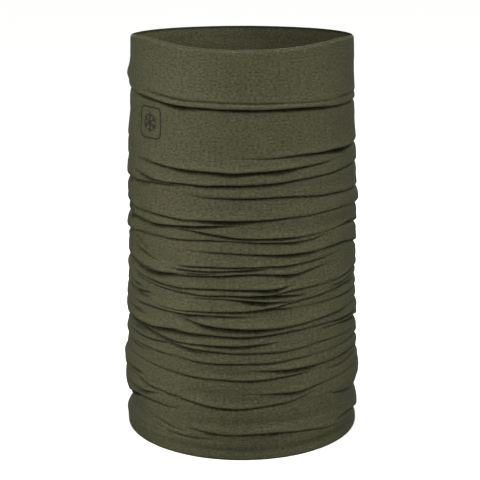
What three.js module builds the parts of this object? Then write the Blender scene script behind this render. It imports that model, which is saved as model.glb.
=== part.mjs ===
// Neck gaiter: one seamless knitted tube, pushed together so that it stands up in folds.
//
// Millimetres, +Z up. The origin is the middle of the lower edge and the front is towards -Y.
// The cloth is held here as a stack of bands, one for each fold. The lower edge of a band is
// the lip of its fold and hangs over the band below; its upper part is tucked in behind the
// band above. The bands slide along Z inside each other, as the folds do when the tube is
// drawn out or pushed down. No band touches another.

import * as THREE from 'three';

// Driving dimensions
const standingHeight = 262.6; // lower edge to upper edge, as gathered
const lowerHalfWidth = 78.9; // half of the tube's width along X at the lower edge
const upperHalfWidth = 71.1; // the same at the upper edge
const depthShare = 0.9; // the tube is an oval: its depth along Y as a share of its width
const clothWall = 0.9; // wall of a band, thicker than the cloth so that it is a sound solid

const firstLip = 17; // height of the lowest fold's lip
const shoulderLip = 190; // height of the lip of the wide smooth band
const topLip = 227; // height of the lip of the band at the upper edge
const gatherCount = 11; // narrow bands between the first lip and the shoulder lip

const tuckedLength = 17; // cloth of a narrow band that is hidden behind the band above
const gatherLean = 0.165; // how far a narrow band leans inwards for each millimetre it rises
const shoulderTucked = 13;
const shoulderLean = 0.0905;

const lipRound = 0.3; // rounding of a lip's outer corner
const lipSteps = 3;
const ovalSteps = 48;

// The mark is a thin film bonded to the wide smooth band, left of the front.
const badgeSide = 20;
const badgeCorner = 4;
const badgeFilm = 0.4;
const badgeGap = 0.3; // clear of the cloth
const badgeHeight = 214.5; // height of its middle
const badgeAngle = THREE.MathUtils.degToRad(-51.5); // from the front, negative towards -X
const badgeColumns = 14;

const taper = (lowerHalfWidth - upperHalfWidth) / standingHeight;
const gatherPitch = (shoulderLip - firstLip) / gatherCount;

const olive = 0x5c5b42;
const darkOlive = 0x2e2f25;

function halfWidthAt(height) {
  return lowerHalfWidth - taper * height;
}

function clothMaterial() {
  return new THREE.MeshStandardMaterial({ color: olive, roughness: 0.95, metalness: 0 });
}

function filmMaterial() {
  return new THREE.MeshStandardMaterial({ color: darkOlive, roughness: 0.6, metalness: 0 });
}

// The section of a band, as radius and height above its lip, going round the wall once.
function bandSection(lip, length, lean) {
  const outer = halfWidthAt(lip);
  const inner = outer - clothWall;
  const shift = lean * length;
  const section = [new THREE.Vector2(inner, 0)];
  for (let step = 0; step <= lipSteps; step += 1) {
    const turn = (Math.PI / 2) * (step / lipSteps);
    const radius = outer - lipRound + lipRound * Math.sin(turn);
    section.push(new THREE.Vector2(radius, lipRound - lipRound * Math.cos(turn)));
  }
  section.push(new THREE.Vector2(outer - shift, length));
  section.push(new THREE.Vector2(inner - shift, length));
  section.push(new THREE.Vector2(inner, 0));
  return section;
}

// A closed oval band of cloth that stands on its lip and leans inwards as it rises.
function makeBand(name, lip, length, lean) {
  const geometry = new THREE.LatheGeometry(bandSection(lip, length, lean), ovalSteps);
  geometry.rotateX(Math.PI / 2);
  geometry.scale(1, depthShare, 1);
  const band = new THREE.Mesh(geometry, clothMaterial());
  band.name = name;
  band.position.z = lip;
  return band;
}

// A point on the badge's base surface: along is the distance to the right of its middle,
// above the height over its middle, and out the distance off the wide smooth band.
function badgePoint(along, above, out) {
  const height = badgeHeight + above;
  const radius = halfWidthAt(shoulderLip) - shoulderLean * (height - shoulderLip) + out;
  const angle = badgeAngle + along / radius;
  return [radius * Math.sin(angle), -radius * depthShare * Math.cos(angle), height];
}

// Half of the badge's height at a distance from its middle: a square with round corners.
function badgeHalfHeight(along) {
  const straight = badgeSide / 2 - badgeCorner;
  const past = Math.max(0, Math.abs(along) - straight);
  return straight + Math.sqrt(Math.max(0, badgeCorner ** 2 - past ** 2));
}

// A curved film, built from upright columns with four corners each.
function makeBadge() {
  const positions = [];
  const triangles = [];
  const near = badgeGap / depthShare;
  const far = near + badgeFilm;
  for (let column = 0; column <= badgeColumns; column += 1) {
    const along = badgeSide * (column / badgeColumns - 0.5);
    const reach = badgeHalfHeight(along);
    positions.push(...badgePoint(along, -reach, near), ...badgePoint(along, -reach, far));
    positions.push(...badgePoint(along, reach, far), ...badgePoint(along, reach, near));
  }
  const addQuad = (a, b, c, d) => triangles.push(a, b, c, a, c, d);
  for (let column = 0; column < badgeColumns; column += 1) {
    for (let corner = 0; corner < 4; corner += 1) {
      const here = 4 * column + corner;
      const next = 4 * column + ((corner + 1) % 4);
      addQuad(here, here + 4, next + 4, next);
    }
  }
  const last = 4 * badgeColumns;
  addQuad(0, 1, 2, 3);
  addQuad(last + 3, last + 2, last + 1, last);

  const geometry = new THREE.BufferGeometry();
  geometry.setAttribute('position', new THREE.Float32BufferAttribute(positions, 3));
  geometry.setIndex(triangles);
  geometry.computeVertexNormals();
  const badge = new THREE.Mesh(geometry, filmMaterial());
  badge.name = 'transfer_badge';
  return badge;
}

const gaiter = new THREE.Group();
gaiter.add(makeBand('lower_edge_band', 0, firstLip + tuckedLength, gatherLean));
for (let index = 0; index < gatherCount; index += 1) {
  const name = `gather_fold_${String(index + 1).padStart(2, '0')}`;
  const lip = firstLip + gatherPitch * index;
  gaiter.add(makeBand(name, lip, gatherPitch + tuckedLength, gatherLean));
}
gaiter.add(
  makeBand('shoulder_band', shoulderLip, topLip - shoulderLip + shoulderTucked, shoulderLean),
);
gaiter.add(makeBand('upper_edge_band', topLip, standingHeight - topLip, taper));
gaiter.add(makeBadge());

export default gaiter;
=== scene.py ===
import math

import bpy
import bmesh
import numpy as np
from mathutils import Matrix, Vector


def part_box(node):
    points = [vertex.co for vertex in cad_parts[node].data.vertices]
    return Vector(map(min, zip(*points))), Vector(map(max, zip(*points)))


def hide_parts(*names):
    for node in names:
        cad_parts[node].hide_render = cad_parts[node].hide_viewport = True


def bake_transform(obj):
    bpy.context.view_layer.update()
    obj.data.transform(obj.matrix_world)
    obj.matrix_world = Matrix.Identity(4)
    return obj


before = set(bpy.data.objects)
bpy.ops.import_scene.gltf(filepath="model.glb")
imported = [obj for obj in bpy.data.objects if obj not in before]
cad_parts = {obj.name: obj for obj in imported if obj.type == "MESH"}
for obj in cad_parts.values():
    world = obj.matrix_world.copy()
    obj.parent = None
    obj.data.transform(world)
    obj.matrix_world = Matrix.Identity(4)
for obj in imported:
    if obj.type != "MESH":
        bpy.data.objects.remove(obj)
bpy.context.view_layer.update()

MM = 0.001

# The oval that the cloth stands on, from the frame: half its width and half its depth at the
# lower edge and at the topmost lip, the height of that lip and of the upper edge, and how much
# the half width narrows for each metre up.
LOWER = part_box("lower_edge_band")[1]
TOP_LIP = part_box("upper_edge_band")[0].z
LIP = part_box("upper_edge_band")[1]
HEIGHT = LIP.z
NARROWING = (LOWER.x - LIP.x) / TOP_LIP
DEPTH_SHARE = LOWER.y / LOWER.x
ROUNDNESS = 2.0  # exponent of the oval, 2 is an ellipse
RIM_POINTED = 0.2  # how much smaller the exponent gets towards the upper edge
RIM_FROM_LIP = 5 * MM  # starting this far below the topmost lip

CLOTH_THICKNESS = 0.5 * MM
EDGE_THICKNESS = 0.5  # share of the thickness that the cut edges have
FLAT_WIDTH = 0.448  # the cloth's size if the tube were cut open and laid flat, in metres
WALE = 0.75  # width of a knitted stitch, in millimetres
COURSE = 0.55  # and its height
STITCH_SLANT = 1.1  # how far a stitch's two legs climb, in stitches for each stitch across
STITCH_ROUND = 0.6  # power that rounds a leg, 1 is a plain ridge
STITCH_TWIST = 0.28  # how far the yarn goes up and down along a leg
KNIT_SHADE = 0.35  # how much lighter the yarn is than the gaps
KNIT_LEAST = 0.78  # and the brightness of the gaps

# Patterns in the cloth's brightness: how often they change for each millimetre across and up,
# their detail and roughness, and how far they lighten and darken the cloth
PATTERNS = {
    "yarn": ((0.55, 0.9, 0), 2.0, 0.6, 1.9),
    "courses": ((0.1, 1.1, 0), 1.0, 0.5, 0.4),
    "wales": ((0.5, 0.06, 0), 2.0, 0.6, 0.4),
    "clouds": ((0.05, 0.11, 0), 3.0, 0.55, 0.24),
}
PAINTED_EDGE_SHADE_LEVEL = 0.7  # brightness of the painted shade, a darker line along the two cut edges that also dims the light on the rim
PAINTED_EDGE_SHADE_SPAN = (0.001, 0.005)  # where it starts to fade and ends, as shares of the tube's height
OLIVE_DARK = (0.030, 0.0293, 0.0166, 1)
OLIVE_LIGHT = (0.040, 0.0390, 0.0225, 1)
FILM_DARK = (0.0055, 0.006, 0.0035, 1)
FILM_LIGHT = (0.0105, 0.011, 0.0065, 1)

# The badge: a thin film in the outline of a rounded square around a six-armed snow crystal
BADGE_NODE = "transfer_badge"
BADGE_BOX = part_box(BADGE_NODE)
BADGE_MIDDLE = (BADGE_BOX[0] + BADGE_BOX[1]) / 2
BADGE_SIDE = (BADGE_BOX[1].z - BADGE_BOX[0].z) / MM
BADGE_RADIUS = 0.068  # of the cloth's curve at the badge
BADGE_CORNER = 4.0
BADGE_MARGIN = 1.5  # how much taller than the badge the cloth is that it is fitted to, each way
OUTLINE_STEPS = 8  # on each side and in each corner of its outline
STROKE = 0.85
FLAKE_REACH = 6.8
FLAKE_BRANCH = 0.52  # where an arm's side branches start, as a share of its reach
FLAKE_BRANCH_LENGTH = 0.3
FILM_BACK = -0.12  # the film's two sides, from the cloth's outer side
FILM_FRONT = 0.16

# The camera, whose tilt, distance and aim place it opposite the object
CAMERA_TILT = math.radians(16.62)
CAMERA_DISTANCE = 0.8006
CAMERA_AIM = 0.1267  # height of the point on the object's axis that it looks at
CAMERA_SIDE = -1.33 * MM
CAMERA_LENS = 89.7

# The studio: the sky's strength, its extra strength straight up, and how that extra strength
# falls from the middle of the view towards the two sides
FLOOR_COLOUR = (0.65, 0.65, 0.65, 1)
FLOOR_SIZE = 30
SKY_COLOUR = (0.975, 1.0, 0.965, 1)
SKY_HORIZON = 0.05  # how far up the sky starts to get brighter, where 1 is straight up
SKY_LEAST = 0.45
SKY_OVERHEAD = 1.5
SKY_MIDDLE = 1.4
SKY_SIDE_LOSS = 1.35
LIGHT_AIM = 0.13  # height of the point on the object's axis that most lights look at

COLUMNS = 240
ROWS = 520
FINE_ROWS = 2900  # rows worked out first, of which the ROWS are then taken
BEND_WEIGHT = 3.5  # how much closer rows are where the cloth bends
BEND_LIMIT = 0.5
HIDDEN_WEIGHT = 0.35  # and how much further apart where it is hidden
HIDDEN_TUCK = 2.5  # cloth tucked in further than this is hidden, in millimetres
ROW_BLUR = 3  # columns to each side with which a column's rows are evened out

# Each crease is a list of points round the tube: azimuth in degrees from the front, positive
# to the right, height in millimetres, and strength from 0, gone, to 1, sharp and deep.
CREASES = [
    # The lip of the band at the upper edge
    [(-180, 228, 0.45), (-120, 230, 0.5), (-84, 229.5, 0.5), (-66, 228.4, 0.5), (-50, 227.9, 0.7),
     (-40, 227.3, 0.8), (-20, 226.7, 0.9), (0, 226.5, 0.92), (30, 225.8, 0.84), (40, 224.8, 0.75),
     (50, 223.8, 0.55), (62, 223, 0.4), (84, 222.6, 0.5), (130, 225, 0.5)],
    [(-62, 232.6, 0), (-48, 231.8, 0.32), (-30, 231.2, 0.36), (-12, 230.8, 0.34),
     (10, 230.4, 0.36), (30, 229.2, 0.34), (44, 228, 0.3), (56, 227, 0)],
    [(-104, 235, 0), (-88, 233.5, 0.35), (-74, 232.6, 0.3), (-60, 231.4, 0)],
    [(48, 229, 0), (60, 228.4, 0.3), (84, 228, 0.35), (104, 229, 0)],
    # The wide smooth band's lower edge, which starts as two creases
    [(-14, 196.6, 0), (0, 196.7, 0.25), (15, 196.4, 0.4), (25, 196.9, 0.65), (35, 197.3, 0.75),
     (48, 197, 0.8), (60, 196.4, 0.85), (70, 196.2, 0.7), (88, 196.6, 0.8), (120, 198, 0.7),
     (160, 203, 0.5), (200, 205, 0.7), (250, 202, 0.6), (275, 200, 0.4), (288, 198, 0.3),
     (300, 196.6, 0)],
    [(-66, 190.8, 0), (-58, 190.4, 0.4), (-45, 189.3, 0.6), (-30, 188.5, 0.75), (-20, 188.2, 0.8),
     (-5, 187.7, 1), (5, 188.1, 1), (20, 189.3, 0.9), (30, 189.8, 0.75), (40, 190.5, 0.5),
     (50, 191.4, 0.3), (62, 192.6, 0)],
    [(-130, 190, 0), (-110, 189.5, 0.5), (-88, 188.5, 0.7), (-76, 187, 0.3), (-66, 186, 0)],
    [(-68, 181.8, 0), (-61, 180.9, 0.6), (-50, 179.7, 0.7), (-40, 179.2, 0.7), (-21, 179.5, 0.75),
     (-10, 179.9, 0.8), (2, 180.3, 0.95), (15, 181, 0.8), (30, 182, 0.75), (40, 182.5, 0.6),
     (52, 183.2, 0.45), (66, 183.6, 0.4), (88, 182.5, 0.8), (130, 186, 0.5), (170, 187, 0)],
    [(-160, 176, 0), (-125, 174, 0.7), (-88, 172.5, 0.8), (-70, 174.7, 0.5), (-61, 175.3, 0.55),
     (-52, 176.8, 0.7), (-42, 177.5, 0.6), (-28, 177.8, 0.3), (-20, 178, 0)],
    [(-34, 172.4, 0), (-22, 172.4, 0.35), (-10, 172.3, 0.5), (0, 172.4, 0.6), (15, 172.2, 0.65),
     (22, 172.1, 0.75), (30, 171.4, 0.8), (40, 170.4, 0.6), (50, 169.7, 0.5), (64, 168, 0.35),
     (88, 165.8, 0.8), (130, 169, 0.7), (170, 174, 0.5), (215, 170, 0.6), (240, 168, 0)],
    [(-180, 160, 0.6), (-130, 158, 0.7), (-90, 157, 0.8), (-72, 157, 0.5), (-59, 156.7, 0.45),
     (-52, 157.5, 0.55), (-40, 157.3, 0.5), (-28, 157.2, 0.65), (-15, 158.1, 0.85),
     (0, 158.1, 0.95), (12, 158.4, 0.75), (25, 159.1, 0.6), (40, 159.3, 0.5), (60, 158.9, 0.4),
     (72, 157.2, 0.5), (88, 154.8, 0.8), (130, 157, 0.7)],
    [(-180, 148, 0), (-130, 149, 0.6), (-90, 149.5, 0.8), (-70, 151.2, 0.7), (-56, 151.4, 0.75),
     (-42, 151.6, 0.8), (-35, 152.3, 0.85), (-28, 153.3, 1), (-20, 154.1, 1), (-12, 154.7, 0.75),
     (-4, 155.1, 0.4), (6, 155.4, 0)],
    [(-36, 151.3, 0), (-30, 150.9, 0.6), (-22, 150.4, 0.85), (-14, 149.1, 0.8), (-5, 148, 0.75),
     (4, 147.3, 0.85), (15, 146.8, 0.8), (28, 146.3, 0.6), (42, 146.4, 0.35), (54, 146.8, 0.35),
     (64, 146.9, 0.65), (74, 146, 0.5), (88, 140.8, 0.55), (130, 140, 0.7), (170, 142, 0)],
    [(-150, 136, 0), (-110, 136, 0.6), (-90, 136.5, 0.8), (-78, 139, 0.5), (-66, 142, 0.55),
     (-54, 143.2, 0.5), (-40, 143.3, 0.4), (-30, 143.9, 0.55), (-18, 145.2, 0.6),
     (-5, 145.5, 0.5), (5, 144.9, 0.6), (15, 144, 0.65), (25, 143.2, 0.8), (32, 143.3, 0.5),
     (44, 144.4, 0.3), (54, 145, 0)],
    [(-82, 141, 0), (-72, 136.5, 0.6), (-61, 131.6, 0.65), (-50, 128.8, 0.45), (-40, 128, 0)],
    [(-79, 144.5, 0), (-66, 139.2, 0.5), (-56, 134.2, 0.45), (-46, 132.3, 0)],
    [(-76, 141.4, 0), (-68, 140.2, 0.5), (-60, 137.8, 0.5), (-52, 137, 0)],
    [(-36, 137.6, 0), (-20, 137.6, 0.3), (0, 137.3, 0.55), (8, 136.8, 0.7), (16, 136.1, 0.9),
     (25, 135.6, 1), (33, 135.5, 0.85), (42, 135.9, 0.6), (52, 135.9, 0.65), (60, 135.6, 0.55),
     (70, 133.4, 0.4), (88, 126.8, 0.6), (130, 127, 0.7), (180, 131, 0.6), (220, 133, 0.5),
     (245, 132, 0)],
    [(-36, 127.8, 0), (-26, 128.1, 0.6), (-14, 128.9, 0.65), (0, 129.4, 0.7), (10, 129.1, 0.7),
     (20, 128.6, 0.9), (28, 129, 0.8), (40, 130, 0.5), (50, 130.6, 0.4), (58, 131.4, 0)],
    [(-38, 124.8, 0), (-30, 125.2, 0.55), (-19, 125.7, 0.6), (-8, 126.2, 0.6), (0, 127.1, 0.7),
     (8, 127.8, 0.7), (14, 128.3, 0)],
    [(-32, 123.1, 0), (-24, 123.8, 0.5), (-15, 124.4, 0.45), (-6, 125, 0)],
    [(-84, 125, 0), (-75, 124, 0.85), (-66, 122.7, 0.8), (-56, 121.5, 0.75), (-47, 121.3, 0.6),
     (-38, 121.4, 0)],
    [(-150, 116, 0), (-115, 114, 0.5), (-90, 118, 0.4), (-72, 120.8, 0.5), (-62, 119.7, 0.75),
     (-52, 119.1, 0.95), (-44, 119.8, 0.95), (-36, 121.1, 0.8), (-26, 121.9, 0.8),
     (-14, 123.1, 0.75), (0, 124.3, 0.75), (6, 124.4, 0.7), (14, 123.7, 0.8), (22, 122.8, 1),
     (27, 122.9, 0.85), (33, 123.9, 0.6), (45, 125.8, 0.35), (58, 127.8, 0)],
    [(-78, 117, 0), (-68, 115.8, 0.5), (-56, 114, 0.5), (-42, 113.2, 0.5), (-32, 112.7, 0.65),
     (-24, 113.6, 0.6), (-10, 114.4, 0.7), (2, 114.6, 0.85), (12, 114.5, 1), (18, 115, 0.95),
     (24, 115.7, 0)],
    [(10, 110.9, 0), (16, 111.2, 0.6), (20, 112.2, 0.85), (25, 113.2, 0.85), (30, 113, 0.6),
     (42, 113.1, 0.45), (58, 113.2, 0.5), (66, 113.8, 0.7), (71, 114.3, 0.8), (77, 113, 0.6),
     (92, 112, 0.5), (130, 109, 0.6), (165, 112, 0)],
    [(-70, 113.2, 0), (-62, 112.2, 0.5), (-52, 111.2, 0.5), (-32, 109.9, 0.45),
     (-18, 109.8, 0.5), (-6, 110.4, 0.65), (4, 110.5, 0.95), (13, 110.6, 1), (20, 109.8, 0.9),
     (27, 108.8, 0.5), (36, 108, 0)],
    [(-30, 107.6, 0), (-20, 107.8, 0.35), (-6, 108, 0.5), (2, 107.5, 0.9), (8, 106.7, 0.95),
     (15, 105.9, 0.7), (22, 105.5, 0.4), (28, 105.4, 0)],
    [(40, 109, 0), (50, 109.7, 0.4), (60, 109.6, 0.45), (71, 110.1, 0.6), (80, 108.5, 0.4),
     (92, 107, 0)],
    [(9, 101.7, 0), (13, 102.3, 0.8), (17, 103.1, 0.85), (22, 104.4, 0.7), (30, 105.2, 0.5),
     (44, 106.4, 0.5), (60, 107, 0.6), (70, 105.9, 0.7), (88, 105.4, 0.8), (120, 104, 0.6),
     (165, 101, 0.6), (215, 104, 0.7), (250, 107, 0.6), (272, 110, 0.7), (290, 108.5, 0.4),
     (302, 107, 0.3), (312, 106, 0)],
    [(-78, 108.4, 0), (-70, 107.4, 0.5), (-62, 107, 0.5), (-54, 107.4, 0)],
    [(-74, 100.6, 0), (-64, 101.2, 0.5), (-54, 101.2, 0.45), (-46, 101.6, 0)],
    [(-78, 91.2, 0), (-70, 90.2, 0.5), (-60, 89.6, 0.5), (-50, 89, 0)],
    [(-104, 99, 0), (-90, 100, 0.4), (-78, 101.4, 0.5), (-68, 103, 0.6), (-60, 103.7, 0.95),
     (-54, 104.2, 0.5), (-46, 104.6, 0)],
    [(-52, 98.6, 0), (-40, 98.6, 0.3), (-28, 98.9, 0.55), (-14, 99.4, 0.6), (-3, 99.9, 0.7),
     (4, 100.6, 0.95), (10, 101.4, 1), (15, 101.6, 0.85), (20, 100.8, 0.7), (26, 100.4, 0.3),
     (40, 100.6, 0.4), (60, 100.5, 0.5), (70, 99.7, 0.5), (88, 98, 0.4), (120, 93, 0.6),
     (160, 92, 0)],
    [(-68, 94.4, 0), (-58, 95, 0.5), (-48, 95.6, 0.45), (-36, 95.8, 0.5), (-27, 96.1, 0.85),
     (-20, 96.6, 0.75), (-8, 96.8, 0.55), (4, 96.6, 0.3), (12, 96.4, 0)],
    [(-35, 94.3, 0), (-28, 93.1, 0.6), (-21, 91.4, 0.8), (-15, 90.1, 1), (-6, 89.1, 1),
     (4, 88.5, 1), (15, 88.5, 0.8), (26, 89, 0.65), (36, 89.8, 0.55), (46, 90.9, 0.55),
     (55, 91.1, 0.6), (66, 91, 0.35), (88, 90.3, 0.8), (125, 84, 0.7), (175, 82, 0.6),
     (225, 88, 0.6), (262, 92, 0.8), (275, 91.4, 0.7), (284, 90.5, 0.4), (298, 88.5, 0)],
    [(-88, 85, 0), (-76, 84, 0.7), (-66, 83.2, 0.8), (-56, 82.6, 0.8), (-47, 82.9, 0.8),
     (-41, 84.3, 0.9), (-35, 84.8, 1), (-28, 84.1, 1), (-20, 84.2, 0.85), (-10, 83.5, 0.85),
     (0, 83.3, 0.9), (7, 84, 0.75), (15, 84.5, 0.7), (24, 85.4, 0.6), (34, 85.8, 0.5),
     (46, 85.6, 0.5), (58, 84.8, 0.6), (70, 83.4, 0.6), (84, 82, 0)],
    [(36, 82.4, 0), (46, 82.7, 0.5), (56, 82.3, 0.55), (64, 80.8, 0.7), (72, 80.2, 0.85),
     (80, 77.4, 0.7), (90, 73.4, 0.6), (140, 72, 0.6), (180, 74, 0)],
    [(-150, 75, 0), (-120, 76, 0.5), (-90, 78, 0.8), (-74, 79.6, 0.6), (-58, 80, 0.85),
     (-47, 79.4, 0.85), (-40, 78.4, 1), (-33, 77.2, 0.85), (-26, 76.8, 0.65), (-14, 77.5, 0.8),
     (-2, 77.3, 1), (6, 78.2, 0.8), (12, 78.5, 0.5), (20, 79, 0)],
    [(-76, 77, 0), (-66, 77.2, 0.5), (-56, 77.2, 0.4), (-48, 76.8, 0)],
    [(-76, 71.8, 0), (-66, 72.6, 0.5), (-48, 73.4, 0.55), (-38, 75, 0.6), (-30, 74.7, 0.7),
     (-23, 74, 0.95), (-14, 73.1, 0.8), (-4, 72.3, 0.7), (8, 72.5, 0.65), (20, 72.7, 0.6),
     (30, 73.8, 0.55), (42, 74.2, 0.5), (54, 73.8, 0.4), (66, 72, 0.3), (78, 71, 0)],
    [(-32, 72.2, 0), (-26, 71.8, 0.45), (-18, 71.1, 0.4), (-10, 70.6, 0)],
    [(-78, 64, 0), (-68, 64.4, 0.45), (-58, 64.2, 0.4), (-48, 64, 0)],
    [(-62, 67.4, 0), (-46, 66.8, 0.4), (-32, 66.4, 0.4), (-22, 65.3, 0.6), (-12, 64.7, 0.7),
     (0, 65.3, 0.6), (12, 65.8, 0.6), (26, 66.3, 0.5), (42, 66.8, 0.35), (58, 66.5, 0.35),
     (70, 66.4, 0.45), (88, 63.2, 0.7), (120, 63, 0.6), (165, 64, 0.6), (215, 66, 0.7),
     (255, 66, 0.6), (285, 66.8, 0.55), (300, 67, 0.5)],
    [(0, 60.6, 0), (9, 60.6, 0.45), (16, 60.3, 0.8), (22, 60, 1), (30, 60, 1), (36, 59.4, 0.95),
     (42, 59.1, 0.65), (52, 58.8, 0.5), (62, 59.3, 0.55), (70, 58.8, 0.5), (84, 57, 0.3),
     (96, 56, 0)],
    [(-100, 54, 0), (-80, 56.4, 0.35), (-60, 56.8, 0.3), (-45, 56.2, 0.45), (-30, 55, 0.6),
     (-17, 54.3, 0.65), (-4, 53.9, 0.7), (6, 54.3, 0.75), (14, 54.8, 0.8), (22, 55.6, 0.7),
     (34, 55.9, 0.45), (44, 56.5, 0)],
    [(40, 54.6, 0), (50, 53.8, 0.4), (58, 53.2, 0.5), (66, 54, 0.45), (75, 54, 0.6),
     (88, 52.6, 0.8), (140, 52, 0.7), (185, 54, 0.6), (225, 57, 0.4), (245, 58, 0)],
    [(0, 44.4, 0), (10, 44.5, 0.5), (18, 44.7, 0.95), (26, 44.4, 1), (32, 44.6, 0.85),
     (38, 45.2, 0.4), (50, 46, 0.3), (70, 47, 0.35), (88, 47, 0.6), (110, 46, 0)],
    [(-86, 49, 0), (-72, 48, 0.6), (-62, 47.4, 0.7), (-52, 47.6, 0)],
    [(-78, 44.8, 0), (-66, 44, 0.3), (-56, 43, 0.5), (-50, 41.4, 0.6), (-42, 40.5, 0.55),
     (-34, 39.3, 0.55), (-25, 37.6, 0.6), (-17, 36, 0.75), (-11, 35.3, 0.9), (0, 35.1, 0.8),
     (8, 36, 0.65), (16, 36.9, 0.65), (24, 38, 0.65), (30, 40, 0.5), (38, 42, 0)],
    [(110, 42, 0), (130, 41, 0.6), (180, 40, 0.6), (230, 42, 0.7), (262, 42, 0.7), (272, 41, 0.7),
     (282, 42, 0.3), (290, 43, 0)],
    [(-80, 36.6, 0), (-70, 35.6, 0.5), (-60, 35.5, 0.7), (-54, 36.1, 0.9), (-48, 37.2, 0.6),
     (-41, 38.6, 0)],
    # The biggest folds, which stand out at the sides
    [(-125, 14, 0), (-108, 12.5, 0.6), (-92, 13.5, 0.9), (-84, 18, 1), (-76, 24.2, 1),
     (-68, 28.6, 0.9), (-60, 30.6, 0.8), (-48, 31.2, 0.7), (-38, 30.8, 0.5), (-28, 30.2, 0)],
    [(44, 37.4, 0), (52, 35, 0.5), (59, 33.5, 0.65), (67, 32.6, 0.65), (76, 29.8, 0.85),
     (88, 25, 0.9), (110, 24, 0.7), (150, 25, 0.6), (200, 27, 0.5), (235, 26, 0)],
    [(-28, 18.6, 0), (-20, 18.1, 0.6), (-14, 17.6, 0.95), (-6, 16.9, 0.75), (4, 17.4, 0.75),
     (14, 18, 0.8), (21, 17.6, 0.7), (30, 16, 0.55), (40, 14.2, 0.55), (50, 12.7, 0.35),
     (58, 12, 0)],
    [(48, 15.4, 0), (56, 16.2, 0.5), (64, 16.3, 0.6), (72, 14.6, 0.5), (88, 7.5, 0.6),
     (120, 9, 0.6), (180, 12, 0.6), (235, 13, 0.5), (275, 15, 0.4), (292, 17, 0)],
    [(-58, 23.4, 0), (-49, 21.5, 0.4), (-40, 18.9, 0.4), (-32, 17, 0.3), (-26, 16.2, 0)],
    [(-48, 16.6, 0), (-38, 14.2, 0.4), (-28, 13, 0.5), (-21, 12.3, 0.5), (-12, 12.9, 0)],
    # More on the back, which the front hides
    [(100, 214, 0), (130, 213, 0.3), (170, 214, 0.4), (210, 212, 0.35), (240, 211, 0)],
    [(140, 192, 0), (165, 192, 0.6), (205, 194, 0.6), (235, 191, 0)],
    [(110, 149, 0), (140, 150, 0.6), (185, 152, 0.5), (205, 153, 0)],
    [(150, 121, 0), (175, 120, 0.7), (215, 123, 0.6), (245, 124, 0)],
    [(95, 117, 0), (120, 118, 0.6), (150, 120, 0.5), (172, 121, 0)],
    [(190, 112, 0), (215, 112, 0.6), (245, 114, 0.6), (270, 115, 0)],
    [(185, 72, 0), (205, 71, 0.6), (235, 72, 0.6), (258, 73, 0)],
    [(175, 95, 0), (200, 95, 0.6), (235, 97, 0.6), (250, 98, 0)],
    [(150, 33, 0), (175, 33, 0.5), (215, 35, 0.5), (235, 35, 0)],
]

CREASE_SEED = 5
WRINKLE_SEED = 11

LINE_BLUR = 1.6  # how far a crease's points are smoothed out, in degrees
WOBBLE = 0.16  # how far a crease wanders up and down, in millimetres
WOBBLE_REACH = 5.0
UNEVEN = 0.08  # and how much its strength varies
UNEVEN_REACH = 6.0

CREASE_DEPTH = 15.0  # cloth tucked into a full crease, in millimetres
CREASE_RISE = math.radians(4)  # a crease runs inwards and this much upwards
LIP_WIDTH = 0.15  # a crease is this sharp above its line
UNDER_WIDTH = 0.16  # and this sharp below it
GAP_WIDTH = 1.35  # added below a full crease, which gapes
GAP_SHAPE = 1.3  # and how much steeper the far side of its gap is
GAP_STRENGTH = 8  # power of the strength, so that only the strongest gape
SOFT_WIDTH = 0.45  # added to a weak crease's width
SIDE_ROUND = 0.75  # added at the two sides, where the folds are rounder
SIDE_NEAR = 10  # power of the sine of the azimuth, so that only the very sides count
SIDE_STRENGTH = 0.22  # how much stronger creases are towards the sides
CREASE_TIP = 0.15  # rounding of the crease's line
SHARP_STRENGTH = 3  # power of the strength that gives a crease's depth
FAINT = 0.07  # what a weak crease keeps of its strength
MERGING = 2.5  # creases that meet become one rather than one twice as deep
LIP_OUT = 1.4  # how far a lip stands out above its crease
LIP_REACH = 6.0
LIP_EDGE = 0.35  # rounding of the lip's edge
LIP_STRENGTH = 1.4  # power of the strength that gives a lip's size
TUCK_IN = 1.0  # how far the cloth under a lip stays in
TUCK_REACH = 1.8
ROLL = 0.8  # how far the lip's rolled edge stands out further
ROLL_MIDDLE = 1.9
ROLL_REACH = 1.3
SIDE_SHALLOW = 0.62  # how much shallower creases are at the two sides
SIDE_LIP = 0.45  # and how much less their lips stand out
SIDE_SINK = 1.0  # how far the cloth next to a crease sinks in there
SIDE_REACH = 2.2
SINK_NEAR = 4  # power of the sine of the azimuth, so that it fades towards front and back

CURL = 0.9  # how far the upper cut edge turns in, in millimetres
LOWER_CURL = 0.1  # and the lower one
CURL_REACH = 1.8
CUT_EDGE = 2.5  # the cloth thins over this much at both edges
EDGE_CALM = 6.0  # the folds die out over the last few millimetres at both edges

# The upper edge is not level: how much higher its sides are than its front, how far its front
# dips, and how high its corners rise at the left and the right, in millimetres
RIM_SIDES = 1.6
RIM_DIP = 0.9
RIM_CORNER_LEFT = 2.9
RIM_CORNER_RIGHT = 1.9
RIM_CORNER_AZIMUTH = 60  # in degrees
RIM_CORNER_REACH = 16
RIM_RISE_FROM = 0.75  # the share of the height from which the cloth follows the edge

# Places where a fold stands out at the side: azimuth, height, reach round the tube in degrees,
# reach up and down in millimetres, and how far out in millimetres.
BULGES = [
    (-92, 35, 26, 7, 2.6), (-88, 20, 14, 4.5, -3.2), (92, 42, 26, 7, 2.4), (88, 30, 14, 3.5, -2.6),
    (-95, 200, 26, 7, 1.0), (-95, 180, 24, 7, 1.3), (-95, 164, 24, 6, 0.9), (-95, 142, 24, 6, 0.9),
    (95, 160, 26, 6, 1.3), (92, 85, 26, 8, 0.8), (-92, 85, 24, 7, 1.0), (-100, 238, 8, 4.6, 3.4),
    (95, 166, 26, 26, 1.2), (180, 120, 60, 16, 1.5), (180, 60, 60, 14, 1.2),
]

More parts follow.
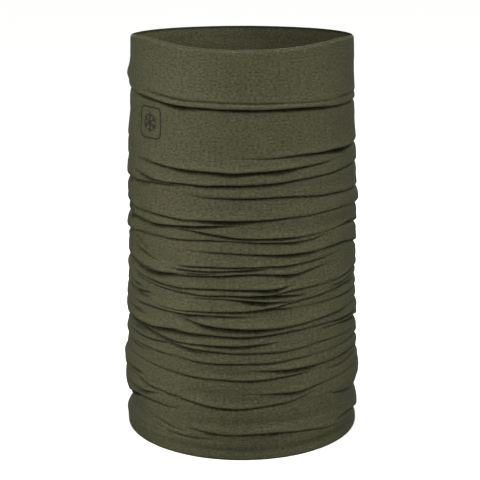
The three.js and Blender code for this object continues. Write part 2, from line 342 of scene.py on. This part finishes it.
# Faint streaks in the cloth between the creases: how many, their least and greatest reach up
# and down in millimetres, and their greatest height as a share of it
WRINKLES = [(360, (1.0, 3.4), 0.36), (1100, (0.4, 1.1), 0.28)]
WRINKLE_ROUND = (7, 28)  # their reach round the tube, in degrees
WRINKLE_LEAN = 0.07  # the most that one climbs, in millimetres for each degree
WRINKLE_MARGIN = (4, 6)  # left free at the lower and the upper edge, in millimetres
SMOOTH_TOP = 40  # streaks from this far below the topmost lip upwards are fainter
SMOOTH_SHARE = 0.3


def smooth_round(values, sigma):
    """values, one for each column, blurred round the tube by sigma columns."""
    reach = int(4 * sigma) + 1
    offsets = np.arange(-reach, reach + 1)
    weights = np.exp(-0.5 * (offsets / sigma) ** 2)
    weights /= weights.sum()
    return sum(w * np.roll(values, k) for w, k in zip(weights, offsets))


def smoothstep(value):
    t = np.clip(value, 0, 1)
    return t * t * (3 - 2 * t)


def crease_line(points, azimuths, rng):
    """A crease's height in millimetres and its strength at each azimuth."""
    count = len(azimuths)
    angle, height, strength = (np.array(column, float) for column in zip(*points))
    degrees = np.degrees(azimuths)
    blur = count * LINE_BLUR / 360
    heights = smooth_round(np.interp(degrees, angle, height, period=360), blur)
    strengths = smooth_round(np.interp(degrees, angle, strength, period=360), blur)
    wobble = smooth_round(rng.normal(size=count), count * WOBBLE_REACH / 360)
    uneven = smooth_round(rng.normal(size=count), count * UNEVEN_REACH / 360)
    heights += WOBBLE * wobble / wobble.std()
    strengths *= 1 + UNEVEN * uneven / uneven.std()
    strengths *= 1 + SIDE_STRENGTH * np.sin(azimuths) ** 2
    return heights, np.clip(strengths, 0, 1)


def cloth_offsets(azimuths, level):
    """How far the cloth is tucked along the creases and how far it stands out, in millimetres,
    over a grid of levels, from the floor, by azimuths."""
    rng = np.random.default_rng(CREASE_SEED)
    together = np.zeros((len(level), len(azimuths)))
    out = np.zeros_like(together)
    at_side = np.sin(azimuths) ** SIDE_NEAR
    side = SIDE_ROUND * at_side
    for points in CREASES:
        height, strength = crease_line(points, azimuths, rng)
        over = level[:, None] - height[None, :]
        above = 0.5 * (1 + np.tanh(over / (LIP_EDGE + side)))
        soft = SOFT_WIDTH * (1 - strength) ** 2 + side
        lip_width = LIP_WIDTH + soft
        gaping = strength ** GAP_STRENGTH * (1 - at_side)
        under_width = UNDER_WIDTH + soft + GAP_WIDTH * gaping
        width = np.where(over > 0, lip_width, under_width)
        steepness = np.where(over > 0, 1, 1 + GAP_SHAPE * gaping)
        slot = np.exp(-((np.hypot(over, CREASE_TIP) - CREASE_TIP) / width) ** steepness)
        sharp = (1 - FAINT) * strength ** SHARP_STRENGTH + FAINT * strength
        depth = CREASE_DEPTH * sharp * (1 - SIDE_SHALLOW * at_side)
        together += (depth * slot) ** MERGING
        lip = strength ** LIP_STRENGTH * (1 - SIDE_LIP * at_side)
        out += LIP_OUT * lip * above * np.exp(-np.maximum(over, 0) / LIP_REACH)
        out += ROLL * lip * np.exp(-((over - ROLL_MIDDLE) / ROLL_REACH) ** 2)
        sink = SIDE_SINK * lip * np.sin(azimuths) ** SINK_NEAR
        out -= sink * np.exp(-(over / SIDE_REACH) ** 2)
        out -= TUCK_IN * sharp * (1 - above) * np.exp(np.minimum(over, 0) / TUCK_REACH)
    return together ** (1 / MERGING), out


def turned(azimuths, degrees):
    """Degrees from that azimuth, the short way round."""
    return (np.degrees(azimuths) - degrees + 180) % 360 - 180


def bulges(azimuths, level):
    """How far the folds bulge out, in millimetres."""
    total = np.zeros((len(level), len(azimuths)))
    for azimuth, height, reach_round, reach_up, out in BULGES:
        across = np.exp(-0.5 * (turned(azimuths, azimuth) / reach_round) ** 2)
        total += out * np.exp(-0.5 * ((level - height) / reach_up) ** 2)[:, None] * across[None, :]
    return total


def wrinkles(azimuths, level):
    """Faint streaks that run round the tube, in millimetres, fainter still in the two smooth
    bands."""
    rng = np.random.default_rng(WRINKLE_SEED)
    total = np.zeros((len(level), len(azimuths)))
    smooth_above = TOP_LIP / MM - SMOOTH_TOP
    for count, reach_up_range, slope in WRINKLES:
        for _ in range(count):
            azimuth = rng.uniform(-180, 180)
            height = rng.uniform(WRINKLE_MARGIN[0], HEIGHT / MM - WRINKLE_MARGIN[1])
            reach_round = rng.uniform(*WRINKLE_ROUND)
            reach_up = rng.uniform(*reach_up_range)
            size = rng.uniform(-slope, slope) * reach_up
            lean = rng.uniform(-WRINKLE_LEAN, WRINKLE_LEAN)
            if height > smooth_above:
                size *= SMOOTH_SHARE
            away = turned(azimuths, azimuth)
            near = np.abs(level - height) < 4 * reach_up + 3 * abs(lean) * reach_round
            middle = height + lean * away
            over = (level[near, None] - middle[None, :]) / reach_up
            total[near] += size * np.exp(-0.5 * over ** 2 - 0.5 * (away / reach_round) ** 2)
    return total


def oval(azimuths, height, out):
    """Points on the oval at that height, moved out by so many metres, x and y."""
    start = TOP_LIP - RIM_FROM_LIP
    exponent = ROUNDNESS - RIM_POINTED * smoothstep((height - start) / (HEIGHT - start))
    half_width = LOWER.x - NARROWING * height
    half_depth = half_width * DEPTH_SHARE
    side, front = np.sin(azimuths), np.cos(azimuths)
    x = half_width * np.sign(side) * np.abs(side) ** (2 / exponent)
    y = -half_depth * np.sign(front) * np.abs(front) ** (2 / exponent)
    nx, ny = side / half_width, -front / half_depth
    size = np.hypot(nx, ny)
    return x + out * nx / size, y + out * ny / size


def rim_rise(azimuths, level):
    """How far the cloth is raised towards the uneven upper edge, in metres."""
    from_corner = (np.abs(np.degrees(azimuths)) - RIM_CORNER_AZIMUTH) / RIM_CORNER_REACH
    corner = np.where(azimuths < 0, RIM_CORNER_LEFT, RIM_CORNER_RIGHT)
    corner = corner * np.exp(-0.5 * from_corner ** 2)
    rise = (RIM_SIDES * np.sin(azimuths) ** 2 - RIM_DIP + corner) * MM
    return rise * smoothstep((level / HEIGHT - RIM_RISE_FROM) / (1 - RIM_RISE_FROM))[:, None]


def cloth_points(azimuths, level):
    """The cloth's outer side over a grid of levels by azimuths, in metres, and where it is
    hidden in a crease."""
    heights = level / MM
    tucked, out = cloth_offsets(azimuths, heights)
    calm = EDGE_CALM * MM
    edge = (smoothstep(level / calm) * smoothstep((HEIGHT - level) / calm))[:, None]
    out += bulges(azimuths, heights) + wrinkles(azimuths, heights)
    out = (out - tucked * math.cos(CREASE_RISE)) * edge * MM
    curl = CURL * (1 - smoothstep((HEIGHT - level) / (CURL_REACH * MM)))
    curl += LOWER_CURL * (1 - smoothstep(level / (CURL_REACH * MM)))
    out -= MM * curl[:, None]
    height = level[:, None] + tucked * math.sin(CREASE_RISE) * edge * MM
    x, y = oval(azimuths[None, :], height, out)
    points = np.stack([x, y, height + rim_rise(azimuths, level)], axis=-1)
    return points, tucked * edge > HIDDEN_TUCK


def spread_rows(level, points, hidden):
    """The same cloth with ROWS rows, closer together where the cloth bends in sight, and each
    row's level, from 0 at the lower edge to 1 at the upper edge."""
    step = np.diff(points, axis=0)
    length = np.linalg.norm(step, axis=-1)
    direction = step / np.maximum(length, 1e-9)[..., None]
    turn = np.linalg.norm(np.diff(direction, axis=0), axis=-1)
    turn = np.vstack([turn[:1], turn])
    weight = length / MM + BEND_WEIGHT * np.minimum(turn, BEND_LIMIT)
    weight *= np.where(hidden[1:], HIDDEN_WEIGHT, 1)
    nearby = range(-ROW_BLUR, ROW_BLUR + 1)
    weight = sum(np.roll(weight, k, axis=1) for k in nearby) / len(nearby)
    start = np.zeros((1, points.shape[1]))
    total = np.vstack([start, np.cumsum(weight, axis=0)])
    rows = np.empty((ROWS, points.shape[1], 3))
    places = np.empty((ROWS, points.shape[1]))
    for column in range(points.shape[1]):
        wanted = np.linspace(0, total[-1, column], ROWS)
        for axis in range(3):
            rows[:, column, axis] = np.interp(wanted, total[:, column], points[:, column, axis])
        places[:, column] = np.interp(wanted, total[:, column], level)
    return rows, places / HEIGHT


def grid_normals(rows):
    """Unit normals of a grid of points that goes round the tube, pointing outwards."""
    along = np.gradient(rows, axis=0)
    around = np.roll(rows, -1, axis=1) - np.roll(rows, 1, axis=1)
    normals = np.cross(around, along)
    return normals / np.maximum(np.linalg.norm(normals, axis=-1), 1e-12)[..., None]


def grid_faces(rows, columns, start, flip):
    """Quads of a grid that closes on itself round the tube."""
    row, column = np.meshgrid(np.arange(rows - 1), np.arange(columns), indexing="ij")
    nxt = (column + 1) % columns
    quad = [row * columns + column, row * columns + nxt, (row + 1) * columns + nxt,
            (row + 1) * columns + column]
    faces = np.stack([q.ravel() for q in quad], axis=1) + start
    return faces[:, ::-1] if flip else faces


def cloth_grid():
    """The cloth's outer side as rows by columns, and the level of each point, from 0 to 1."""
    azimuths = np.linspace(-math.pi, math.pi, COLUMNS, endpoint=False)
    level = np.linspace(0, HEIGHT, FINE_ROWS)
    return spread_rows(level, *cloth_points(azimuths, level))


def make_tube(outside, places):
    """The cloth with an outer and an inner side and two cut edges, which are thinner."""
    from_edge = np.minimum(places, 1 - places) * HEIGHT
    thin = EDGE_THICKNESS + (1 - EDGE_THICKNESS) * smoothstep(from_edge / (CUT_EDGE * MM))
    inside = outside - grid_normals(outside) * (thin * CLOTH_THICKNESS)[..., None]
    inside[0, :, 2] = outside[0, :, 2]
    inside[-1, :, 2] = outside[-1, :, 2]
    count = ROWS * COLUMNS
    vertices = np.concatenate([outside.reshape(-1, 3), inside.reshape(-1, 3)])
    faces = [grid_faces(ROWS, COLUMNS, 0, False), grid_faces(ROWS, COLUMNS, count, True)]
    here = np.arange(COLUMNS)
    nxt = (here + 1) % COLUMNS
    top = (ROWS - 1) * COLUMNS
    faces.append(np.stack([nxt, here, here + count, nxt + count], axis=1))
    faces.append(np.stack([top + here, top + nxt, top + nxt + count, top + here + count], axis=1))
    faces = np.concatenate(faces)
    mesh = bpy.data.meshes.new("gaiter_tube")
    mesh.from_pydata(vertices.tolist(), [], faces.tolist())
    at_rim = 2 * COLUMNS
    smooth = [True] * (len(mesh.polygons) - at_rim) + [False] * at_rim
    mesh.polygons.foreach_set("use_smooth", smooth)
    lay_out_cloth(mesh, faces, np.tile(places.ravel(), 2))
    tube = bpy.data.objects.new("gaiter_tube", mesh)
    bpy.context.scene.collection.objects.link(tube)
    return tube


def lay_out_cloth(mesh, faces, places):
    """The UV map "cloth": once round the tube across, and from the lower edge to the upper."""
    column = (faces % COLUMNS).astype(float)
    across_seam = (column.max(axis=1) - column.min(axis=1) > COLUMNS / 2)[:, None]
    column = np.where(across_seam & (column < COLUMNS / 2), column + COLUMNS, column)
    uv = np.stack([column / COLUMNS, places[faces]], axis=-1)
    mesh.uv_layers.new(name="cloth").uv.foreach_set("vector", uv.ravel())


def rounded_square(half, corner):
    """Points round a square with round corners, the same number on any size."""
    points = []
    for turn in range(4):
        angle = math.radians(90 * turn)
        for step in range(OUTLINE_STEPS):
            along = (half - corner) * (2 * step / OUTLINE_STEPS - 1)
            points.append((angle, half, along))
        for step in range(OUTLINE_STEPS):
            bend = math.radians(90) * step / OUTLINE_STEPS
            points.append((angle, half - corner + corner * math.cos(bend),
                           half - corner + corner * math.sin(bend)))
    return [(math.cos(a) * u - math.sin(a) * v, math.sin(a) * u + math.cos(a) * v)
            for a, u, v in points]


def snow_crystal(reach, stroke):
    """One outline with six pointed arms, each with a pair of side branches."""
    half = stroke / 2
    branch, length = FLAKE_BRANCH * reach, FLAKE_BRANCH_LENGTH * reach
    side, rise = length * math.sin(math.radians(60)), length * math.cos(math.radians(60))
    tall = stroke / math.sin(math.radians(60))
    right = [(half, half * math.sqrt(3)), (half, branch), (half + side, branch + rise),
             (half + side, branch + rise + tall), (half, branch + tall), (half, reach - stroke)]
    left = [(-u, v) for u, v in right[:0:-1]]
    points = []
    for arm in range(6):
        angle = math.radians(60 * arm)
        for u, v in right + [(0, reach)] + left:
            points.append((math.cos(angle) * u - math.sin(angle) * v,
                           math.sin(angle) * u + math.cos(angle) * v))
    return points


def on_band(grid, along, above, out):
    """A point of the wide smooth band, by millimetres to the right of the badge's middle,
    above it and out from the cloth."""
    azimuth = math.atan2(BADGE_MIDDLE.x, -BADGE_MIDDLE.y * (LOWER.x / LOWER.y))

    def surface(right, up):
        height = BADGE_MIDDLE.z + up * MM
        column = (azimuth + right * MM / BADGE_RADIUS + math.pi) / (2 * math.pi) * COLUMNS
        first = math.floor(column)
        point = np.zeros(3)
        for index, share in ((first, first + 1 - column), (first + 1, column - first)):
            line = grid[:, index]
            line = line[np.abs(line[:, 2] - BADGE_MIDDLE.z) < (BADGE_SIDE / 2 + BADGE_MARGIN) * MM]
            point += share * np.array([np.interp(height, line[:, 2], line[:, k]) for k in range(3)])
        return point

    step = 0.5
    around = surface(along + step, above) - surface(along - step, above)
    upwards = surface(along, above + step) - surface(along, above - step)
    normal = np.cross(around, upwards)
    return surface(along, above) + out * MM * normal / np.linalg.norm(normal)


def make_badge(grid):
    """The film, cut flat with an edge for each millimetre across, so that it can bend, given
    its thickness and pressed on the cloth."""
    flat = bmesh.new()
    half = BADGE_SIDE / 2
    outer = [flat.verts.new((u, v, 0)) for u, v in rounded_square(half, BADGE_CORNER)]
    inner = [flat.verts.new((u, v, 0))
             for u, v in rounded_square(half - STROKE, BADGE_CORNER - STROKE)]
    for index in range(len(outer)):
        nxt = (index + 1) % len(outer)
        flat.faces.new((outer[index], outer[nxt], inner[nxt], inner[index]))
    flat.faces.new([flat.verts.new((u, v, 0)) for u, v in snow_crystal(FLAKE_REACH, STROKE)])
    flat.normal_update()
    bmesh.ops.triangulate(flat, faces=flat.faces[:], ngon_method="EAR_CLIP")
    for cut in range(1 - round(half), round(half)):
        parts = flat.verts[:] + flat.edges[:] + flat.faces[:]
        bmesh.ops.bisect_plane(flat, geom=parts, plane_co=(cut, 0, 0), plane_no=(1, 0, 0))
    front = bmesh.ops.extrude_face_region(flat, geom=flat.faces[:])["geom"]
    for part in front:
        if isinstance(part, bmesh.types.BMVert):
            part.co.z = 1
    bmesh.ops.recalc_face_normals(flat, faces=flat.faces[:])
    film = flat.loops.layers.uv.new("film")
    for face in flat.faces:
        for corner in face.loops:
            corner[film].uv = (corner.vert.co.x / BADGE_SIDE, corner.vert.co.y / BADGE_SIDE)
    for vertex in flat.verts:
        along, above, share = vertex.co
        out = FILM_BACK + (FILM_FRONT - FILM_BACK) * share
        vertex.co = on_band(grid, along, above, out)
    mesh = bpy.data.meshes.new("badge_film")
    flat.to_mesh(mesh)
    flat.free()
    badge = bpy.data.objects.new("badge_film", mesh)
    bpy.context.scene.collection.objects.link(badge)
    return badge


class Nodes:
    """Short calls that add a node and link what goes into it."""

    def __init__(self, owner):
        owner.use_nodes = True
        self.tree = owner.node_tree
        self.shader = self.tree.nodes.get("Principled BSDF")

    def add(self, kind, inputs=(), **settings):
        node = self.tree.nodes.new("ShaderNode" + kind)
        for name, value in settings.items():
            setattr(node, name, value)
        for socket, value in dict(inputs).items():
            self.put(node.inputs[socket], value)
        return node

    def put(self, socket, value):
        if isinstance(value, bpy.types.NodeSocket):
            self.tree.links.new(value, socket)
        else:
            socket.default_value = value

    def math(self, operation, *values):
        node = self.add("Math", dict(enumerate(values)), operation=operation)
        return node.outputs[0]

    def noise(self, vector, scale, detail=2.0, roughness=0.5):
        inputs = {"Vector": vector, "Scale": scale, "Detail": detail, "Roughness": roughness}
        return self.add("TexNoise", inputs).outputs[0]

    def ramp(self, value, low, high, least, most):
        ends = {"Value": value, "From Min": low, "From Max": high, "To Min": least, "To Max": most}
        return self.add("MapRange", ends).outputs[0]

    def scaled(self, vector, by):
        node = self.add("VectorMath", {0: vector, 1: by}, operation="MULTIPLY")
        return node.outputs[0]


def knit_height(nodes, across, along):
    """Rows of V stitches, from 0 in the gaps to 1 on the yarn. across and along are in
    stitches."""
    side = nodes.math("ABSOLUTE", nodes.math("SUBTRACT", nodes.math("FRACT", across), 0.5))
    leg = nodes.math("SUBTRACT", 1.0, nodes.math("ABSOLUTE", nodes.math(
        "SUBTRACT", nodes.math("MULTIPLY", side, 4.0), 1.0)))
    slant = nodes.math("ADD", along, nodes.math("MULTIPLY", side, STITCH_SLANT))
    twist = nodes.math("SINE", nodes.math("MULTIPLY", slant, 2 * math.pi))
    twist = nodes.math("MULTIPLY_ADD", twist, STITCH_TWIST, 1 - STITCH_TWIST)
    return nodes.math("MULTIPLY", nodes.math("POWER", leg, STITCH_ROUND), twist)


def cloth_material():
    """Fine jersey in a mottled olive yarn, with a slight sheen, and painted shade along its two cut
    edges.
    """
    material = bpy.data.materials.new("olive_knit")
    nodes = Nodes(material)
    shader = nodes.shader
    place = nodes.add("UVMap", uv_map="cloth").outputs[0]
    flat = nodes.scaled(place, (FLAT_WIDTH / MM, HEIGHT / MM, 0))
    split = nodes.add("SeparateXYZ", {0: flat})
    across = nodes.math("DIVIDE", split.outputs[0], WALE)
    along = nodes.math("DIVIDE", split.outputs[1], COURSE)
    knit = knit_height(nodes, across, along)

    brightness = nodes.math("MULTIPLY_ADD", knit, KNIT_SHADE, KNIT_LEAST)
    patterns = {}
    for name, (often, detail, roughness, share) in PATTERNS.items():
        patterns[name] = nodes.noise(nodes.scaled(flat, often), 1.0, detail, roughness)
        shade = nodes.math("MULTIPLY_ADD", patterns[name], share, 1 - share / 2)
        brightness = nodes.math("MULTIPLY", brightness, shade)
    # The cloth is painted darker along its two cut edges: painted shade, which also dims the light
    # on the rim.
    share_up = nodes.add("SeparateXYZ", {0: place}).outputs[1]
    from_middle = nodes.math("ABSOLUTE", nodes.math("SUBTRACT", share_up, 0.5))
    from_edge = nodes.math("SUBTRACT", 0.5, from_middle)
    painted_edge_shade = nodes.ramp(from_edge, *PAINTED_EDGE_SHADE_SPAN, PAINTED_EDGE_SHADE_LEVEL, 1.0)
    brightness = nodes.math("MULTIPLY", brightness, painted_edge_shade)
    yarn = patterns["yarn"]
    tint = nodes.add("MixRGB", {"Fac": yarn, "Color1": OLIVE_DARK, "Color2": OLIVE_LIGHT})
    colour = nodes.add("VectorMath", {0: tint.outputs[0]}, operation="SCALE")
    nodes.put(colour.inputs["Scale"], brightness)
    nodes.put(shader.inputs["Base Color"], colour.outputs[0])
    clouds = patterns["clouds"]
    nodes.put(shader.inputs["Roughness"], nodes.math("MULTIPLY_ADD", clouds, 0.16, 0.52))
    shader.inputs["Specular IOR Level"].default_value = 0.05
    shader.inputs["Specular Tint"].default_value = (1.0, 0.95, 0.62, 1)
    shader.inputs["Sheen Weight"].default_value = 0.005
    shader.inputs["Sheen Roughness"].default_value = 0.4
    shader.inputs["Sheen Tint"].default_value = (0.9, 0.87, 0.62, 1)
    bumps = nodes.math("ADD", knit, nodes.math("MULTIPLY", yarn, 0.9))
    bump = nodes.add("Bump", {"Height": bumps, "Strength": 0.5, "Distance": 0.12 * MM})
    nodes.put(shader.inputs["Normal"], bump.outputs[0])
    return material


def film_material():
    """Thin matt film, a dark olive, through which the knit can be felt."""
    material = bpy.data.materials.new("badge_film")
    nodes = Nodes(material)
    shader = nodes.shader
    place = nodes.add("UVMap", uv_map="film").outputs[0]
    flat = nodes.scaled(place, (BADGE_SIDE, BADGE_SIDE, 0))
    split = nodes.add("SeparateXYZ", {0: flat})
    across = nodes.math("DIVIDE", split.outputs[0], WALE)
    along = nodes.math("DIVIDE", split.outputs[1], COURSE)
    knit = knit_height(nodes, across, along)
    mottle = nodes.noise(flat, 0.9, 3.0, 0.6)
    tint = nodes.add("MixRGB", {"Fac": mottle, "Color1": FILM_DARK, "Color2": FILM_LIGHT})
    nodes.put(shader.inputs["Base Color"], tint.outputs[0])
    nodes.put(shader.inputs["Roughness"], nodes.math("MULTIPLY_ADD", mottle, 0.2, 0.4))
    shader.inputs["Specular IOR Level"].default_value = 0.12
    height = nodes.math("MULTIPLY_ADD", mottle, 0.5, knit)
    bump = nodes.add("Bump", {"Height": height, "Strength": 0.3, "Distance": 0.06 * MM})
    nodes.put(shader.inputs["Normal"], bump.outputs[0])
    return material


def make_camera():
    """The view that the object is seen from: from in front and above, tilted down a little."""
    data = bpy.data.cameras.new("camera")
    data.lens = CAMERA_LENS
    camera = bpy.data.objects.new("camera", data)
    back = CAMERA_DISTANCE * math.cos(CAMERA_TILT)
    up = CAMERA_AIM + CAMERA_DISTANCE * math.sin(CAMERA_TILT)
    camera.location = (CAMERA_SIDE, -back, up)
    camera.rotation_euler = (math.radians(90) - CAMERA_TILT, 0, 0)
    bpy.context.scene.collection.objects.link(camera)
    bpy.context.scene.camera = camera


def make_light(name, azimuth, distance, height, size, power, aim=LIGHT_AIM):
    """A soft light, size is its width and height, that looks at the object's axis."""
    data = bpy.data.lights.new(name, "AREA")
    data.shape = "RECTANGLE"
    data.size, data.size_y = size
    data.energy = power
    light = bpy.data.objects.new(name, data)
    angle = math.radians(azimuth)
    light.location = (distance * math.sin(angle), -distance * math.cos(angle), height)
    light.rotation_euler = (math.atan2(distance, height - aim), 0, angle)
    light.visible_camera = False
    bpy.context.scene.collection.objects.link(light)


def make_floor():
    """A plain pale floor. It takes shadows but gives the object no light back."""
    bpy.ops.mesh.primitive_plane_add(size=FLOOR_SIZE)
    floor = bpy.context.object
    floor.name = "floor"
    floor.visible_diffuse = False
    floor.visible_glossy = False
    material = bpy.data.materials.new("floor")
    shader = Nodes(material).shader
    shader.inputs["Base Color"].default_value = FLOOR_COLOUR
    shader.inputs["Roughness"].default_value = 0.9
    shader.inputs["Specular IOR Level"].default_value = 0.0
    floor.data.materials.append(material)


def make_sky():
    """A pale sky, even round the horizon and below it, and brighter overhead, less so towards
    the two sides."""
    world = bpy.data.worlds.new("studio")
    nodes = Nodes(world)
    direction = nodes.add("TexCoord").outputs["Generated"]
    x, _, z = nodes.add("SeparateXYZ", {0: direction}).outputs
    overhead = nodes.ramp(z, SKY_HORIZON, 1.0, 0.0, SKY_OVERHEAD)
    sideways = nodes.math("MULTIPLY", nodes.math("MULTIPLY", x, x), SKY_SIDE_LOSS)
    not_sideways = nodes.math("SUBTRACT", SKY_MIDDLE, sideways)
    strength = nodes.math("MULTIPLY_ADD", overhead, not_sideways, SKY_LEAST)
    background = nodes.tree.nodes["Background"]
    background.inputs["Color"].default_value = SKY_COLOUR
    nodes.put(background.inputs["Strength"], strength)
    bpy.context.scene.world = world
    bpy.context.scene.view_settings.view_transform = "Standard"


def make_lights():
    """Two upright strips close in front, softboxes above, one weak light in the opening and two
    softboxes behind."""
    make_light("left_strip", -40, 0.16, 0.22, (0.05, 0.5), 0.495, aim=0.22)
    make_light("right_strip", 36, 0.16, 0.22, (0.05, 0.5), 0.345, aim=0.22)
    make_light("left_softbox", -42, 0.5, 1.0, (0.35, 0.35), 3.4)
    make_light("right_softbox", 42, 0.5, 1.0, (0.35, 0.35), 2.8)
    make_light("inner_softbox", 0, 0, 0.75, (0.25, 0.25), 3.0)
    make_light("opening_light", 128, 0.03, 0.31, (0.05, 0.05), 0.15, aim=0.3)
    make_light("back_left_softbox", -168, 0.6, 0.5, (0.4, 0.4), 1.5)
    make_light("back_right_softbox", 168, 0.6, 0.5, (0.4, 0.4), 1.5)


make_camera()
make_floor()
make_sky()
make_lights()

grid, levels = cloth_grid()
tube = make_tube(grid, levels)
tube.data.materials.append(cloth_material())
badge = make_badge(grid)
badge.data.materials.append(film_material())

bands = [node for node in sorted(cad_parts) if node != BADGE_NODE]
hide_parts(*bands)
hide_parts(BADGE_NODE)
for piece in (tube, badge):
    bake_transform(piece)
